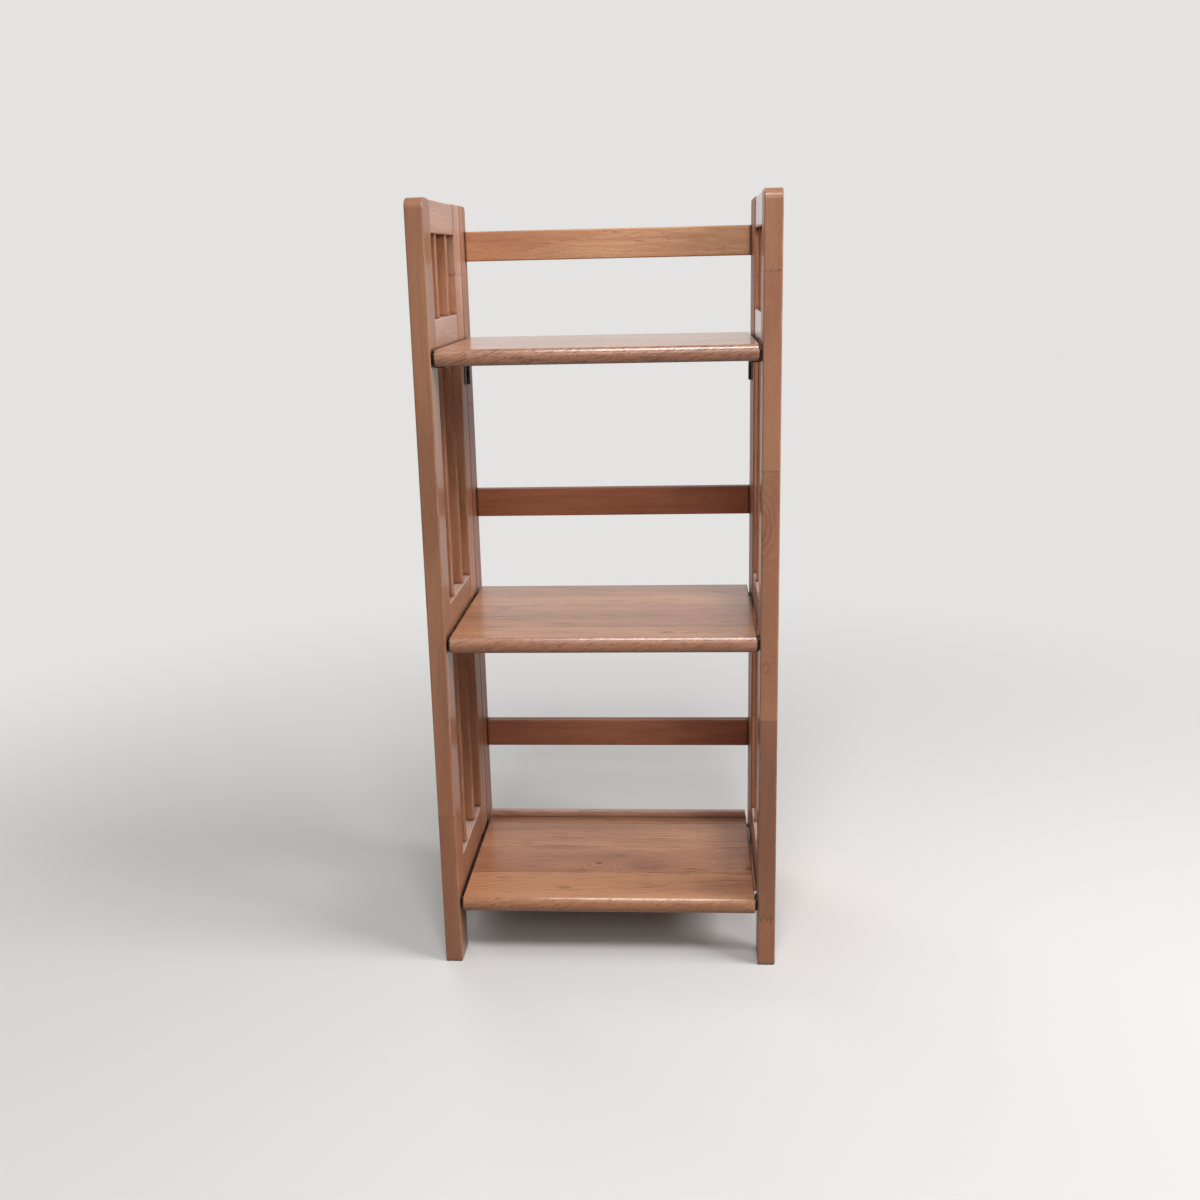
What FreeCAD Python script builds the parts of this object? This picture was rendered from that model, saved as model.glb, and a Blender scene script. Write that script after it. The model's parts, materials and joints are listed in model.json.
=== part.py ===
import FreeCAD, Part
import math
import os

# Free-standing folding bookcase: two slatted side frames hinged to a back frame,
# with three shelves that pivot at the back and rest on brackets at the front.
# Millimetres. X is to the right, Y runs to the back, Z is up.
# The origin is on the floor, at the middle of the footprint.

# Overall sizes
overall_width = 430.0
overall_depth = 300.0

# Posts
post_width = 22.0
front_post_depth = 44.0
rear_post_depth = 44.0
back_post_depth = 50.0
post_edge_round = 2.0
front_post_top_round = 12.0
back_post_top_round = 8.0

# Rails between the front and rear post of a side frame
side_rail_height = 38.0
lower_side_rail_height = 60.0
side_rail_thickness = 20.0
side_rail_edge_round = 1.5
top_rail_drop = 1.0
rail_above_shelf = 33.0
lower_rail_above_shelf = 41.0

# Slats between the rails of a side frame
slat_inset = 2.5
slat_width = 11.0
slat_spacing = 71.0
slat_edge_round = 1.2
slat_housing_depth = 8.0

# Rails between the two back posts
back_rail_height = 39.0
back_rail_thickness = 16.0
back_rail_inset = 1.0
back_rail_top_above_shelf = 139.0
lower_back_rail_top_above_shelf = 144.0
post_above_back_rail = 33.0
back_rail_edge_round = 2.0

# Glued tenons of all rails
tenon_length = 12.0
tenon_thickness = 8.0
tenon_shoulder = 5.0
glue_gap = 0.1
mortise_end_gap = 1.0

# Shelves
shelf_thickness = 19.0
shelf_front_inset = 1.0
shelf_end_clearance = 0.5
shelf_nose_depth = 4.0
shelf_arris_round = 0.8
shelf_end_round = 1.5
shelf_rear_round = 4.0
bottom_shelf_height = 90.0
shelf_spacing = 351.0

# Strip glued along the back of the bottom shelf
lip_height = 8.5
lip_thickness = 10.0
lip_edge_round = 1.5

# Pivot pins of the shelves
pivot_pin_diameter = 5.0
pivot_pin_in_shelf = 12.0
pivot_pin_in_post = 8.5
pivot_behind_seam = 6.5
pivot_from_shelf_rear = 21.0
pivot_running_clearance = 0.05
pivot_press_clearance = 0.01

# Angle brackets under the front corners of the shelves
bracket_length = 18.0
bracket_front_inset = 16.0
bracket_thickness = 2.5
bracket_leg = 14.0
bracket_top_drop = 4.5
bracket_bend_round = 3.0
bracket_inner_round = 0.5
bracket_corner_round = 3.0

# Screws that hold the brackets
bracket_screw_diameter = 3.0
bracket_screw_length = 15.0
bracket_screw_spacing = 9.0
bracket_screw_drop = 6.0
bracket_screw_head_diameter = 5.6
bracket_screw_head_height = 0.6

# Butt hinges between the side frames and the back frame
hinge_length = 28.0
hinge_leaf_width = 17.0
hinge_leaf_thickness = 1.3
hinge_leaf_corner_round = 1.5
hinge_barrel_diameter = 4.8
hinge_barrel_lift = 0.1
hinge_end_knuckle = 8.0
hinge_knuckle_gap = 0.2
hinge_pin_diameter = 2.4
hinge_pin_clearance = 0.05
hinge_pin_head_diameter = 3.8
hinge_pin_head_height = 0.8
hinge_below_shelf = 14.0

# Screws that hold the hinges
hinge_screw_diameter = 2.4
hinge_screw_length = 13.0
hinge_screw_spacing = 16.0
hinge_screw_head_diameter = 4.4
hinge_screw_inset = 7.5

# Cross slots in the screw heads, and the room round a screw
screw_slot_width = 0.6
screw_slot_depth = 0.5
screw_slot_share = 0.62
screw_clearance = 0.03

# Planes and levels that the pieces share
front_plane = -overall_depth / 2.0
back_plane = overall_depth / 2.0
inner_face = overall_width / 2.0 - post_width
front_post_rear = front_plane + front_post_depth
seam_plane = back_plane - back_post_depth
rear_post_front = seam_plane - rear_post_depth
post_middle = inner_face + post_width / 2.0
shelf_end_gap = bracket_thickness + bracket_screw_head_height + shelf_end_clearance
shelf_half_length = inner_face - shelf_end_gap
shelf_front = front_plane + shelf_front_inset
pivot_plane = seam_plane + pivot_behind_seam
shelf_rear = pivot_plane + pivot_from_shelf_rear
back_rail_rear = back_plane - back_rail_inset
back_rail_front = back_rail_rear - back_rail_thickness
slat_thickness = side_rail_thickness - 2.0 * slat_inset
side_tenon_height = side_rail_height - 2.0 * tenon_shoulder

SHELF_TOPS = {
    "bottom": bottom_shelf_height,
    "middle": bottom_shelf_height + shelf_spacing,
    "top": bottom_shelf_height + 2.0 * shelf_spacing,
}
BACK_RAIL_TOPS = {
    "lower": SHELF_TOPS["bottom"] + lower_back_rail_top_above_shelf,
    "middle": SHELF_TOPS["middle"] + back_rail_top_above_shelf,
    "upper": SHELF_TOPS["top"] + back_rail_top_above_shelf,
}
overall_height = BACK_RAIL_TOPS["upper"] + post_above_back_rail
SIDE_RAIL_TOPS = {
    "lower": SHELF_TOPS["bottom"] + lower_rail_above_shelf,
    "middle": SHELF_TOPS["middle"] + rail_above_shelf,
    "upper": SHELF_TOPS["top"] + rail_above_shelf,
    "top": overall_height - top_rail_drop,
}
SIDE_RAIL_HEIGHTS = {
    "lower": lower_side_rail_height,
    "middle": side_rail_height,
    "upper": side_rail_height,
    "top": side_rail_height,
}
SLAT_BAYS = {
    "lower": ("lower", "middle"),
    "middle": ("middle", "upper"),
    "upper": ("upper", "top"),
}
HINGE_SHELVES = {"lower": "bottom", "upper": "top"}
SIDES = ("left", "right")

ALONG_X = FreeCAD.Vector(1, 0, 0)
ALONG_Y = FreeCAD.Vector(0, 1, 0)
ALONG_Z = FreeCAD.Vector(0, 0, 1)
CLOSENESS = 1e-6

slat_middle = (front_post_rear + rear_post_front) / 2.0
SLAT_PLANES = {
    "front": slat_middle - slat_spacing / 2.0,
    "rear": slat_middle + slat_spacing / 2.0,
}


def outward(side):
    """The direction of a side along X, as a sign."""
    return 1.0 if side == "right" else -1.0


def vec(x, y, z):
    return FreeCAD.Vector(x, y, z)


def box(x_range, y_range, z_range):
    """A block between two corners given as three ranges."""
    low = [min(pair) for pair in (x_range, y_range, z_range)]
    high = [max(pair) for pair in (x_range, y_range, z_range)]
    size = [b - a for a, b in zip(low, high)]
    return Part.makeBox(size[0], size[1], size[2], vec(*low))


def rod(diameter, start, end):
    """A round bar between two points."""
    run = end.sub(start)
    return Part.makeCylinder(diameter / 2.0, run.Length, start, run)


def rounded(shape, axis, radius, **place):
    """Rounds the straight edges along an axis that lie at the given x, y or z."""
    picked = []
    for edge in shape.Edges:
        if edge.Curve.TypeId != "Part::GeomLine":
            continue
        run = edge.Vertexes[-1].Point.sub(edge.Vertexes[0].Point)
        along = abs(abs(run.dot(axis)) - run.Length) < CLOSENESS
        middle = edge.CenterOfMass
        if along and all(abs(getattr(middle, name) - value) < CLOSENESS for name, value in place.items()):
            picked.append(edge)
    return shape.makeFillet(radius, picked)


def extruded_profile(points_and_arcs, run):
    """A solid from a closed outline, pushed along a vector."""
    return Part.Face(Part.Wire(points_and_arcs)).extrude(run)


def lines(points):
    """Straight edges through points in order."""
    pairs = zip(points[:-1], points[1:])
    return [Part.makeLine(a, b) for a, b in pairs]


def corner_arc(centre, radius, start_degrees, end_degrees):
    """An arc in the Y-Z plane, counted from +Y towards +Z."""
    spots = []
    for degrees in (start_degrees, (start_degrees + end_degrees) / 2.0, end_degrees):
        turn = math.radians(degrees)
        spots.append(centre.add(vec(0, radius * math.cos(turn), radius * math.sin(turn))))
    return Part.Arc(*spots).toShape()


def post_blank(side, y_front, y_rear, front_round, rear_round):
    """A post with eased edges, whose front and rear top corners have those radii."""
    x = outward(side) * post_middle - post_width / 2.0
    top = overall_height
    outline = lines([
        vec(x, y_front, top - front_round),
        vec(x, y_front, 0),
        vec(x, y_rear, 0),
        vec(x, y_rear, top - rear_round),
    ])
    if rear_round:
        outline.append(corner_arc(vec(x, y_rear - rear_round, top - rear_round), rear_round, 0, 90))
    outline.append(Part.makeLine(vec(x, y_rear - rear_round, top), vec(x, y_front + front_round, top)))
    if front_round:
        outline.append(corner_arc(vec(x, y_front + front_round, top - front_round), front_round, 90, 180))
    blank = extruded_profile(outline, vec(post_width, 0, 0))
    return blank.makeFillet(post_edge_round, blank.Edges)


def side_tenon_rise(level):
    """Heights of a side rail's tenon: the same on every rail, below its top edge."""
    top = SIDE_RAIL_TOPS[level] - tenon_shoulder
    return top - side_tenon_height, top


def side_rail_mortise(side, level, y_face, into):
    """The pocket in a post for one side rail's tenon; into is +1 towards the back."""
    x = outward(side) * post_middle
    half = tenon_thickness / 2.0 + glue_gap
    bottom, top = side_tenon_rise(level)
    depth = tenon_length + mortise_end_gap
    y_range = (y_face, y_face + into * depth)
    return box((x - half, x + half), y_range, (bottom - glue_gap, top + glue_gap))


def side_rail(side, level):
    """A rail of a side frame, with its tenons and the housings for the slats."""
    x = outward(side) * post_middle
    top = SIDE_RAIL_TOPS[level]
    bottom = top - SIDE_RAIL_HEIGHTS[level]
    half = side_rail_thickness / 2.0
    body = box((x - half, x + half), (front_post_rear, rear_post_front), (bottom, top))
    body = rounded(body, ALONG_Y, side_rail_edge_round)
    tenon_half = tenon_thickness / 2.0
    tenon_run = (front_post_rear - tenon_length, rear_post_front + tenon_length)
    body = body.fuse(box((x - tenon_half, x + tenon_half), tenon_run, side_tenon_rise(level)))
    for below, above in SLAT_BAYS.values():
        for y in SLAT_PLANES.values():
            if below == level:
                body = body.cut(slat_housing(x, y, top, -1.0))
            if above == level:
                body = body.cut(slat_housing(x, y, bottom, 1.0))
    return body.removeSplitter()


def slat_housing(x, y, z_face, into):
    """The pocket in a rail for one end of a slat; into is +1 upwards."""
    half_x = slat_thickness / 2.0 + glue_gap
    half_y = slat_width / 2.0 + glue_gap
    depth = slat_housing_depth
    if into > 0:
        depth += mortise_end_gap
    return box((x - half_x, x + half_x), (y - half_y, y + half_y), (z_face, z_face + into * depth))


def slat(side, bay, place):
    """An upright slat, standing in the rail below and held by the rail above."""
    x = outward(side) * post_middle
    y = SLAT_PLANES[place]
    below, above = SLAT_BAYS[bay]
    bottom = SIDE_RAIL_TOPS[below] - slat_housing_depth
    top = SIDE_RAIL_TOPS[above] - SIDE_RAIL_HEIGHTS[above] + slat_housing_depth
    half_x = slat_thickness / 2.0
    half_y = slat_width / 2.0
    body = box((x - half_x, x + half_x), (y - half_y, y + half_y), (bottom, top))
    return rounded(body, ALONG_Z, slat_edge_round)


def back_rail_mortise(side, level):
    """The pocket in a back post for one back rail's tenon."""
    sign = outward(side)
    y = (back_rail_front + back_rail_rear) / 2.0
    half = tenon_thickness / 2.0 + glue_gap
    top = BACK_RAIL_TOPS[level] - tenon_shoulder + glue_gap
    bottom = BACK_RAIL_TOPS[level] - back_rail_height + tenon_shoulder - glue_gap
    depth = tenon_length + mortise_end_gap
    return box((sign * inner_face, sign * (inner_face + depth)), (y - half, y + half), (bottom, top))


def back_rail(level):
    """A rail between the back posts, with a tenon at each end."""
    top = BACK_RAIL_TOPS[level]
    bottom = top - back_rail_height
    body = box((-inner_face, inner_face), (back_rail_front, back_rail_rear), (bottom, top))
    body = rounded(body, ALONG_X, back_rail_edge_round)
    y = (back_rail_front + back_rail_rear) / 2.0
    tenon_half = tenon_thickness / 2.0
    reach = inner_face + tenon_length
    tenon_rise = (bottom + tenon_shoulder, top - tenon_shoulder)
    tenon = box((-reach, reach), (y - tenon_half, y + tenon_half), tenon_rise)
    return body.fuse(tenon).removeSplitter()


def pivot_height(level):
    """The pins lie in the middle of the board's thickness."""
    return SHELF_TOPS[level] - shelf_thickness / 2.0


def pivot_bore(side, level, clearance):
    """The round hole for a pivot pin, through the shelf's end and into the back post."""
    sign = outward(side)
    inner = vec(sign * (shelf_half_length - pivot_pin_in_shelf), pivot_plane, pivot_height(level))
    outer = vec(sign * (inner_face + pivot_pin_in_post + mortise_end_gap), pivot_plane, pivot_height(level))
    return rod(pivot_pin_diameter + 2.0 * clearance, inner, outer)


def shelf(level):
    """A shelf with a bowed front edge, rounded back edge and bores for its pins."""
    top = SHELF_TOPS[level]
    bottom = top - shelf_thickness
    nose_rear = shelf_front + shelf_nose_depth
    r = shelf_rear_round
    x = -shelf_half_length
    middle = (top + bottom) / 2.0
    nose = Part.Arc(vec(x, nose_rear, top), vec(x, shelf_front, middle), vec(x, nose_rear, bottom))
    outline = [
        nose.toShape(),
        Part.makeLine(vec(x, nose_rear, bottom), vec(x, shelf_rear - r, bottom)),
        corner_arc(vec(x, shelf_rear - r, bottom + r), r, 270, 360),
        Part.makeLine(vec(x, shelf_rear, bottom + r), vec(x, shelf_rear, top - r)),
        corner_arc(vec(x, shelf_rear - r, top - r), r, 0, 90),
        Part.makeLine(vec(x, shelf_rear - r, top), vec(x, nose_rear, top)),
    ]
    board = extruded_profile(outline, vec(2.0 * shelf_half_length, 0, 0))
    board = rounded(board, ALONG_X, shelf_arris_round, y=nose_rear)
    rim = []
    for edge in board.Edges:
        box_of_edge = edge.BoundBox
        if box_of_edge.XMax - box_of_edge.XMin < CLOSENESS:
            rim.append(edge)
    board = board.makeFillet(shelf_end_round, rim)
    for side in SIDES:
        board = board.cut(pivot_bore(side, level, pivot_press_clearance))
    return board


def shelf_lip():
    """The strip that stands along the back of the bottom shelf."""
    base = SHELF_TOPS["bottom"]
    rear = shelf_rear - shelf_rear_round
    half = shelf_half_length - shelf_end_round
    body = box((-half, half), (rear - lip_thickness, rear), (base, base + lip_height))
    return rounded(body, ALONG_X, lip_edge_round, z=base + lip_height)


def pivot_pins(level):
    """The two steel pins of a shelf, pressed into its ends."""
    pins = []
    for side in SIDES:
        sign = outward(side)
        start = vec(sign * (shelf_half_length - pivot_pin_in_shelf), pivot_plane, pivot_height(level))
        end = vec(sign * (inner_face + pivot_pin_in_post), pivot_plane, pivot_height(level))
        pins.append(rod(pivot_pin_diameter, start, end))
    return Part.makeCompound(pins)


def bracket_screw_spots(side, level):
    """Where the screws of a bracket enter it, on the bracket's inner face."""
    sign = outward(side)
    middle = front_plane + bracket_front_inset + bracket_length / 2.0
    z = SHELF_TOPS[level] - bracket_top_drop - bracket_screw_drop
    x = sign * (inner_face - bracket_thickness)
    return [vec(x, middle + step * bracket_screw_spacing / 2.0, z) for step in (-1.0, 1.0)]


def shelf_bracket(side, level):
    """An angle bracket: one leg on the front post, the other under the shelf."""
    sign = outward(side)
    y_range = (front_plane + bracket_front_inset, front_plane + bracket_front_inset + bracket_length)
    underside = SHELF_TOPS[level] - shelf_thickness
    top = SHELF_TOPS[level] - bracket_top_drop
    base = underside - bracket_thickness
    wall = sign * inner_face
    inside = sign * (inner_face - bracket_thickness)
    tip = sign * (inner_face - bracket_leg)
    upright = box((wall, inside), y_range, (base, top))
    foot = box((wall, tip), y_range, (base, underside))
    angle = upright.fuse(foot).removeSplitter()
    angle = rounded(angle, ALONG_Y, bracket_bend_round, x=wall, z=base)
    angle = rounded(angle, ALONG_Y, bracket_inner_round, x=inside, z=underside)
    angle = rounded(angle, ALONG_X, bracket_corner_round, z=top)
    angle = rounded(angle, ALONG_Z, bracket_corner_round, x=tip)
    for spot in bracket_screw_spots(side, level):
        through = vec(wall, spot.y, spot.z)
        angle = angle.cut(rod(bracket_screw_diameter + 2.0 * screw_clearance, spot, through))
    return angle


def cross_slots(spot, sign, head_diameter):
    """Two crossed slots to cut from a screw head whose face is at a spot."""
    reach = head_diameter * screw_slot_share / 2.0
    half = screw_slot_width / 2.0
    x_range = (spot.x, spot.x + sign * screw_slot_depth)
    flat = box(x_range, (spot.y - reach, spot.y + reach), (spot.z - half, spot.z + half))
    upright = box(x_range, (spot.y - half, spot.y + half), (spot.z - reach, spot.z + reach))
    return flat.fuse(upright)


def bracket_screw(side, spot):
    """A low round-head screw through a bracket into the front post."""
    sign = outward(side)
    face = vec(spot.x - sign * bracket_screw_head_height, spot.y, spot.z)
    tip = vec(spot.x + sign * bracket_screw_length, spot.y, spot.z)
    head = rod(bracket_screw_head_diameter, face, spot)
    screw = head.fuse(rod(bracket_screw_diameter, spot, tip))
    return screw.cut(cross_slots(face, sign, bracket_screw_head_diameter))


def bracket_screws():
    """All the bracket screws, as separate solids."""
    screws = []
    for side in SIDES:
        for level in SHELF_TOPS:
            for spot in bracket_screw_spots(side, level):
                screws.append(bracket_screw(side, spot))
    return Part.makeCompound(screws)


def bracket_screw_pilots(side):
    """The screw holes in a front post."""
    sign = outward(side)
    holes = []
    for level in SHELF_TOPS:
        for spot in bracket_screw_spots(side, level):
            start = vec(sign * inner_face, spot.y, spot.z)
            end = vec(spot.x + sign * (bracket_screw_length + screw_clearance), spot.y, spot.z)
            holes.append(rod(bracket_screw_diameter + 2.0 * screw_clearance, start, end))
    return holes


def hinge_top(place):
    """The upper end of a hinge, a little under the shelf above it."""
    return SHELF_TOPS[HINGE_SHELVES[place]] - shelf_thickness - hinge_below_shelf


def hinge_axis_x(side):
    """The barrel stands on the inner faces of the posts, clear of the wood."""
    return outward(side) * (inner_face - hinge_barrel_diameter / 2.0 - hinge_barrel_lift)


def knuckle_ranges(place, leaf):
    """Heights of a leaf's knuckles: the side leaf has the two ends, the back leaf the middle."""
    top = hinge_top(place)
    bottom = top - hinge_length
    gap = hinge_knuckle_gap / 2.0
    if leaf == "side":
        return [(bottom, bottom + hinge_end_knuckle - gap), (top - hinge_end_knuckle + gap, top)]
    return [(bottom + hinge_end_knuckle + gap, top - hinge_end_knuckle - gap)]


def hinge_screw_spots(side, place, leaf):
    """Where the screws of a hinge leaf enter it, on the leaf's inner face."""
    sign = outward(side)
    toward = -1.0 if leaf == "side" else 1.0
    y = seam_plane + toward * (hinge_leaf_width - hinge_screw_inset)
    middle = hinge_top(place) - hinge_length / 2.0
    x = sign * (inner_face - hinge_leaf_thickness)
    return [vec(x, y, middle + step * hinge_screw_spacing / 2.0) for step in (-1.0, 1.0)]


def countersink(sign, spot, clearance):
    """The cone of a flat screw head, wide at the leaf's face."""
    deep = hinge_leaf_thickness
    face_radius = hinge_screw_head_diameter / 2.0 + clearance
    root_radius = hinge_screw_diameter / 2.0 + clearance
    return Part.makeCone(face_radius, root_radius, deep, spot, vec(sign, 0, 0))


def hinge_leaf(side, place, leaf):
    """One leaf of a butt hinge with its knuckles, screw holes and countersinks."""
    sign = outward(side)
    toward = -1.0 if leaf == "side" else 1.0
    top = hinge_top(place)
    bottom = top - hinge_length
    x_range = (sign * inner_face, sign * (inner_face - hinge_leaf_thickness))
    barrel_clear = hinge_barrel_diameter / 2.0 + hinge_knuckle_gap
    plate = box(
        x_range,
        (seam_plane + toward * barrel_clear, seam_plane + toward * hinge_leaf_width),
        (bottom, top),
    )
    body = rounded(plate, ALONG_X, hinge_leaf_corner_round, y=seam_plane + toward * hinge_leaf_width)
    axis_x = hinge_axis_x(side)
    for low, high in knuckle_ranges(place, leaf):
        tongue = box(x_range, (seam_plane, seam_plane + toward * barrel_clear), (low, high))
        barrel = rod(hinge_barrel_diameter, vec(axis_x, seam_plane, low), vec(axis_x, seam_plane, high))
        body = body.fuse(tongue).fuse(barrel)
    bore = hinge_pin_diameter + 2.0 * hinge_pin_clearance
    body = body.cut(rod(bore, vec(axis_x, seam_plane, bottom), vec(axis_x, seam_plane, top)))
    for spot in hinge_screw_spots(side, place, leaf):
        body = body.cut(countersink(sign, spot, screw_clearance))
    return body.removeSplitter()


def hinge_pin(side, place):
    """The pin of a hinge, with a small head at each end."""
    axis_x = hinge_axis_x(side)
    top = hinge_top(place)
    bottom = top - hinge_length
    head = hinge_pin_head_height
    pin = rod(hinge_pin_diameter, vec(axis_x, seam_plane, bottom - head), vec(axis_x, seam_plane, top + head))
    for low in (bottom - head, top):
        foot = vec(axis_x, seam_plane, low)
        pin = pin.fuse(rod(hinge_pin_head_diameter, foot, foot.add(vec(0, 0, head))))
    return pin.removeSplitter()


def hinge_screw(side, spot):
    """A flat-head screw through a hinge leaf into a post."""
    sign = outward(side)
    seat = vec(spot.x + sign * hinge_leaf_thickness, spot.y, spot.z)
    tip = vec(spot.x + sign * hinge_screw_length, spot.y, spot.z)
    screw = countersink(sign, spot, 0.0).fuse(rod(hinge_screw_diameter, seat, tip))
    return screw.cut(cross_slots(spot, sign, hinge_screw_head_diameter))


def hinge_screws():
    """All the hinge screws, as separate solids."""
    screws = []
    for side in SIDES:
        for place in HINGE_SHELVES:
            for leaf in ("side", "back"):
                for spot in hinge_screw_spots(side, place, leaf):
                    screws.append(hinge_screw(side, spot))
    return Part.makeCompound(screws)


def hinge_screw_pilots(side, leaf):
    """The hinge screw holes in a rear post or a back post."""
    sign = outward(side)
    holes = []
    for place in HINGE_SHELVES:
        for spot in hinge_screw_spots(side, place, leaf):
            start = vec(sign * inner_face, spot.y, spot.z)
            end = vec(spot.x + sign * (hinge_screw_length + screw_clearance), spot.y, spot.z)
            holes.append(rod(hinge_screw_diameter + 2.0 * screw_clearance, start, end))
    return holes


def front_post(side):
    """A front post with its mortises and bracket screw holes."""
    post = post_blank(side, front_plane, front_post_rear, front_post_top_round, front_post_top_round)
    for level in SIDE_RAIL_TOPS:
        post = post.cut(side_rail_mortise(side, level, front_post_rear, -1.0))
    for hole in bracket_screw_pilots(side):
        post = post.cut(hole)
    return post


def rear_post(side):
    """A rear post with its mortises and hinge screw holes."""
    post = post_blank(side, rear_post_front, seam_plane, 0.0, 0.0)
    for level in SIDE_RAIL_TOPS:
        post = post.cut(side_rail_mortise(side, level, rear_post_front, 1.0))
    for hole in hinge_screw_pilots(side, "side"):
        post = post.cut(hole)
    return post


def back_post(side):
    """A back post with its mortises, pivot bores and hinge screw holes."""
    post = post_blank(side, seam_plane, back_plane, 0.0, back_post_top_round)
    for level in BACK_RAIL_TOPS:
        post = post.cut(back_rail_mortise(side, level))
    for level in SHELF_TOPS:
        post = post.cut(pivot_bore(side, level, pivot_running_clearance))
    for hole in hinge_screw_pilots(side, "back"):
        post = post.cut(hole)
    return post


def all_pieces():
    """Every piece of the bookcase by its name."""
    pieces = {}
    for side in SIDES:
        pieces[side + "_front_post"] = front_post(side)
        pieces[side + "_rear_post"] = rear_post(side)
        pieces[side + "_back_post"] = back_post(side)
        for level in SIDE_RAIL_TOPS:
            pieces[side + "_" + level + "_side_rail"] = side_rail(side, level)
        for bay in SLAT_BAYS:
            for place in SLAT_PLANES:
                pieces[side + "_" + bay + "_" + place + "_slat"] = slat(side, bay, place)
        for level in SHELF_TOPS:
            pieces[side + "_" + level + "_shelf_bracket"] = shelf_bracket(side, level)
        for place in HINGE_SHELVES:
            name = side + "_" + place + "_hinge"
            pieces[name + "_side_leaf"] = hinge_leaf(side, place, "side")
            pieces[name + "_back_leaf"] = hinge_leaf(side, place, "back")
            pieces[name + "_pin"] = hinge_pin(side, place)
    for level in BACK_RAIL_TOPS:
        pieces[level + "_back_rail"] = back_rail(level)
    for level in SHELF_TOPS:
        pieces[level + "_shelf"] = shelf(level)
        pieces[level + "_shelf_pivot_pins"] = pivot_pins(level)
    pieces["bottom_shelf_lip"] = shelf_lip()
    pieces["bracket_screws"] = bracket_screws()
    pieces["hinge_screws"] = hinge_screws()
    return pieces


os.makedirs("parts", exist_ok=True)
for piece_name, piece in all_pieces().items():
    piece.exportStep("parts/" + piece_name + ".step")
    print(piece_name, "solids", len(piece.Solids), "volume", round(piece.Volume, 1), "valid", piece.isValid())
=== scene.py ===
import json
import math
import random

import bpy
from mathutils import Matrix, Vector


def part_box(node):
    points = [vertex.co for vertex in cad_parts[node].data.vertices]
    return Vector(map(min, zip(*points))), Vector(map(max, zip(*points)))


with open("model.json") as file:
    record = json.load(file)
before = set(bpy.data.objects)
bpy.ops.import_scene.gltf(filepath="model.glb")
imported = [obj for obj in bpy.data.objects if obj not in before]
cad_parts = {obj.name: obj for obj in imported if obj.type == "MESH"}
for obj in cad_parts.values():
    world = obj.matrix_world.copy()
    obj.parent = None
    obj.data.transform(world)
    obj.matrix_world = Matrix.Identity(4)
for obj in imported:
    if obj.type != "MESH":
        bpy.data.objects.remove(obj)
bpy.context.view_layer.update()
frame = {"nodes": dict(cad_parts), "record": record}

# Folding bookcase of lacquered wood with dark metal fittings.
# Metres. X is to the right, Y runs to the back, Z is up, and the object stands on Z = 0.

X, Y, Z = 0, 1, 2


def srgb(red, green, blue):
    """A colour as it looks on a screen, 0 to 255, in the linear numbers that shaders use."""
    def linear(value):
        share = value / 255.0
        if share <= 0.04045:
            return share / 12.92
        return ((share + 0.055) / 1.055) ** 2.4
    return (linear(red), linear(green), linear(blue), 1.0)


# Camera, solved from the edges of the posts, rails and shelves
camera_place = Vector((0.10426, -1.68626, 0.88744))
camera_turn = math.radians(-3.92)
camera_dip = math.radians(14.46)
camera_roll = math.radians(-1.32)
focal_pixels = 1310.1
picture_pixels = 1200.0
sensor_width = 36.0

# Surroundings
backdrop_colour = srgb(228, 227, 226)
floor_colour = srgb(208, 206, 204)
floor_bounce = srgb(138, 135, 132)
ambient_level = 0.24
floor_radius = 9.0
floor_corners = 96
floor_fade_start = 0.45
floor_fade_end = 1.9

# Lamps: place, width, height and watts; all point at about the middle of the object
lamp_aim = (0.0, 0.0, 0.5)
LAMPS = {
    "key_lamp": ((0.12, -1.85, 3.05), 0.9, 0.7, 52.0),
    "front_lamp": ((0.3, -3.0, 2.0), 1.4, 0.8, 15.0),
    "side_lamp": ((2.7, -0.9, 2.0), 1.8, 1.2, 105.0),
    "back_lamp": ((-1.6, 2.4, 2.4), 1.6, 1.2, 24.0),
}

# Light and deep tone of the wood, by kind of piece
frame_tones = (srgb(159, 111, 82), srgb(137, 93, 67))
inner_tones = (srgb(176, 124, 95), srgb(153, 104, 78))
# Painted sheen: the right top and upper side rails are paler for the light their inner faces mirror
sheen_painted_rail_tones = (srgb(196, 150, 124), srgb(176, 130, 104))
# Painted light: the back rails' tones are set for how light and shade fall in each bay
upper_rail_painted_light_tones = (srgb(180, 130, 97), srgb(158, 108, 78))
middle_rail_painted_light_tones = (srgb(180, 117, 86), srgb(156, 97, 70))
lower_rail_painted_light_tones = (srgb(182, 122, 92), srgb(158, 102, 76))
shelf_tones = (srgb(188, 134, 96), srgb(160, 108, 76))
# Painted light: the lip is paler, to make up for the shade round it
lip_painted_light_tones = (srgb(213, 165, 141), srgb(190, 145, 122))

# Colours that are laid over the tones
ring_colour = srgb(122, 72, 48)
red_tint = srgb(148, 90, 66)
# Stains, and painted shade on the right front post and on the right end of the bottom shelf
stain_and_shade_tint = srgb(122, 76, 58)
pale_tint = srgb(198, 152, 117)
fleck_colour = srgb(92, 52, 35)
worn_colour = srgb(208, 168, 138)
# Painted highlight along the upper front edge of the bottom shelf
painted_edge_highlight = srgb(232, 200, 174)
# Dust, with a painted sheen on upper faces
dust_and_sheen_tint = srgb(208, 184, 172)
# Painted shade in inner corners and narrow gaps
painted_shade_colour = srgb(40, 24, 18)

# Metal colours
bronze_dark = srgb(40, 34, 30)
bronze_brown = srgb(72, 58, 48)
bronze_worn = srgb(158, 150, 140)
steel_light = srgb(200, 196, 190)
steel_dull = srgb(144, 138, 130)
steel_oiled = srgb(104, 98, 92)

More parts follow.
